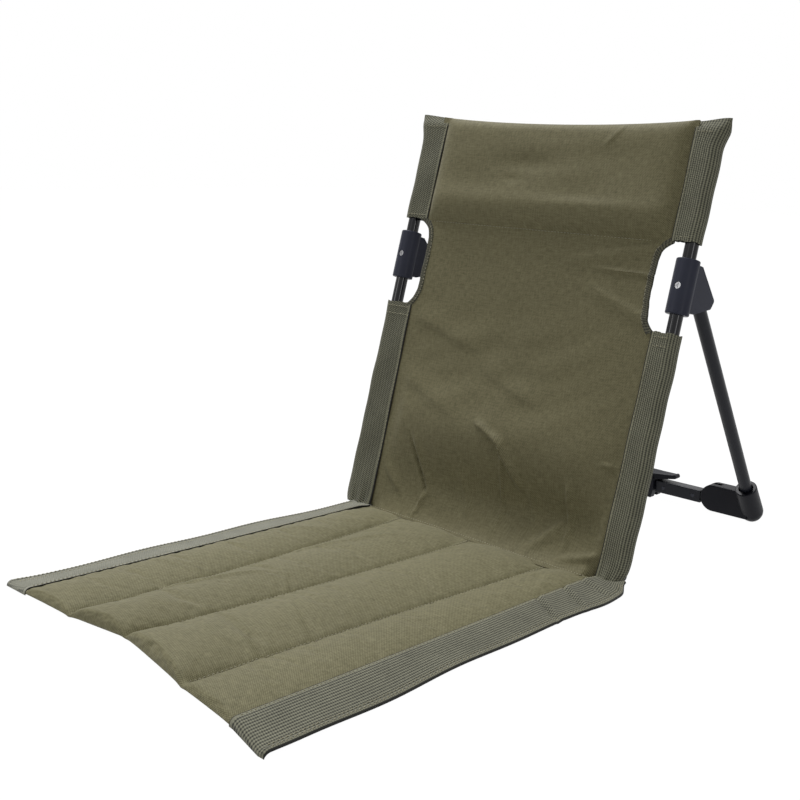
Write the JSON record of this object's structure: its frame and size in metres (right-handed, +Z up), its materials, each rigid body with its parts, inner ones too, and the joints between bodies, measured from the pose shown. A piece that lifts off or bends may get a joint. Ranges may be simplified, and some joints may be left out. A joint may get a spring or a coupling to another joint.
{
  "type": "folding camp chair",
  "caption": "Legless folding ground chair: a channelled padded seat, a fabric back on two tubes, and rear struts tied by a folding crossbar.",
  "frame": {"origin": "on the ground, midway across the chair and midway between the seat front and the back of the rear feet", "axes": "+Z up, -Y the way the sitter faces, +X to the sitter's left"},
  "size_m": [0.4, 0.749, 0.4522],
  "materials": {
    "upright_tube": "gloss",
    "strut_tube": "satin",
    "crossbar": "satin",
    "moulded_plastic": "matte",
    "screw": "satin",
    "pin_steel": "satin",
    "webbing": "woven",
    "back_fabric": "woven",
    "seat_fabric": "woven",
    "foam": "matte"
  },
  "bodies": {
    "left_frame": {"back_panel": "back_fabric", "block_screw_left": "screw", "cutout_binding_left": "webbing", "cutout_binding_right": "webbing", "head_panel": "back_fabric", "head_pocket_rear": "back_fabric", "hinge_block_left": "moulded_plastic", "lower_sleeve_left": "webbing", "strut_pin_left": "pin_steel", "upper_sleeve_left": "webbing", "upright_foot_cap_left": "moulded_plastic", "upright_left": "upright_tube", "upright_top_cap_left": "moulded_plastic"},
    "left_leg": {"foot_left": "moulded_plastic", "foot_pin_left": "pin_steel", "strut_left": "strut_tube", "strut_plug_left": "moulded_plastic"},
    "left_link": {"crossbar_inner_tongue_left": "moulded_plastic", "crossbar_outer_tongue_left": "moulded_plastic", "crossbar_rivets_left": "pin_steel", "crossbar_tube_left": "crossbar"},
    "bracket": {"bracket_pin_left": "pin_steel", "bracket_pin_right": "pin_steel", "centre_bracket": "moulded_plastic"},
    "right_link": {"crossbar_inner_tongue_right": "moulded_plastic", "crossbar_outer_tongue_right": "moulded_plastic", "crossbar_rivets_right": "pin_steel", "crossbar_tube_right": "crossbar"},
    "right_leg": {"foot_pin_right": "pin_steel", "foot_right": "moulded_plastic", "strut_plug_right": "moulded_plastic", "strut_right": "strut_tube"},
    "right_frame": {"block_screw_right": "screw", "hinge_block_right": "moulded_plastic", "lower_sleeve_right": "webbing", "strut_pin_right": "pin_steel", "upper_sleeve_right": "webbing", "upright_foot_cap_right": "moulded_plastic", "upright_right": "upright_tube", "upright_top_cap_right": "moulded_plastic"},
    "seat": {"seat_base": "seat_fabric", "seat_cover": "seat_fabric", "seat_foam_1": "foam", "seat_foam_2": "foam", "seat_foam_3": "foam", "seat_foam_4": "foam", "seat_webbing_left": "webbing"},
    "seat_edge": {"seat_webbing_right": "webbing"}
  },
  "joints": [
    {"name": "stand_fold", "type": "hinge", "parent": "left_frame", "child": "left_leg", "pos_m": [0.185, 0.17809, 0.28736], "axis": [-1, 0, 0], "range_deg": [0, 47]},
    {"name": "bar_fold", "type": "hinge", "parent": "left_leg", "child": "left_link", "pos_m": [0.14, 0.35849, 0.024], "axis": [0, 1, 0], "range_deg": [0, 84], "deforming": ["back_panel", "head_panel", "head_pocket_rear", "cutout_binding_left", "cutout_binding_right", "seat_base", "seat_cover", "seat_foam_1", "seat_foam_2", "seat_foam_3", "seat_foam_4"]},
    {"name": "bracket_turn", "type": "hinge", "parent": "left_link", "child": "bracket", "pos_m": [0.02, 0.35849, 0.0175], "axis": [0, 1, 0], "range_deg": [-84, 0]},
    {"name": "right_link_turn", "type": "hinge", "parent": "bracket", "child": "right_link", "pos_m": [-0.02, 0.35849, 0.0175], "axis": [0, 1, 0], "range_deg": [-84, 0]},
    {"name": "right_foot_turn", "type": "hinge", "parent": "right_link", "child": "right_leg", "pos_m": [-0.14, 0.35849, 0.024], "axis": [0, 1, 0], "range_deg": [0, 84]},
    {"name": "right_stand_fold", "type": "hinge", "parent": "right_leg", "child": "right_frame", "pos_m": [-0.185, 0.17809, 0.28736], "axis": [-1, 0, 0], "range_deg": [-47, 0]},
    {"name": "seat_fold", "type": "hinge", "parent": "left_frame", "child": "seat", "pos_m": [0, 0.06052, 0.008], "axis": [-1, 0, 0], "range_deg": [0, 100]},
    {"name": "seat_edge_fold", "type": "hinge", "parent": "right_frame", "child": "seat_edge", "pos_m": [-0.181, 0.06052, 0.008], "axis": [-1, 0, 0], "range_deg": [0, 100]}
  ],
  "couplings": [
    {"joint": "bracket_turn", "follows": "bar_fold", "ratio": -1},
    {"joint": "right_link_turn", "follows": "bar_fold", "ratio": -1},
    {"joint": "right_foot_turn", "follows": "bar_fold", "ratio": 1},
    {"joint": "right_stand_fold", "follows": "stand_fold", "ratio": -1},
    {"joint": "seat_edge_fold", "follows": "seat_fold", "ratio": 1}
  ]
}
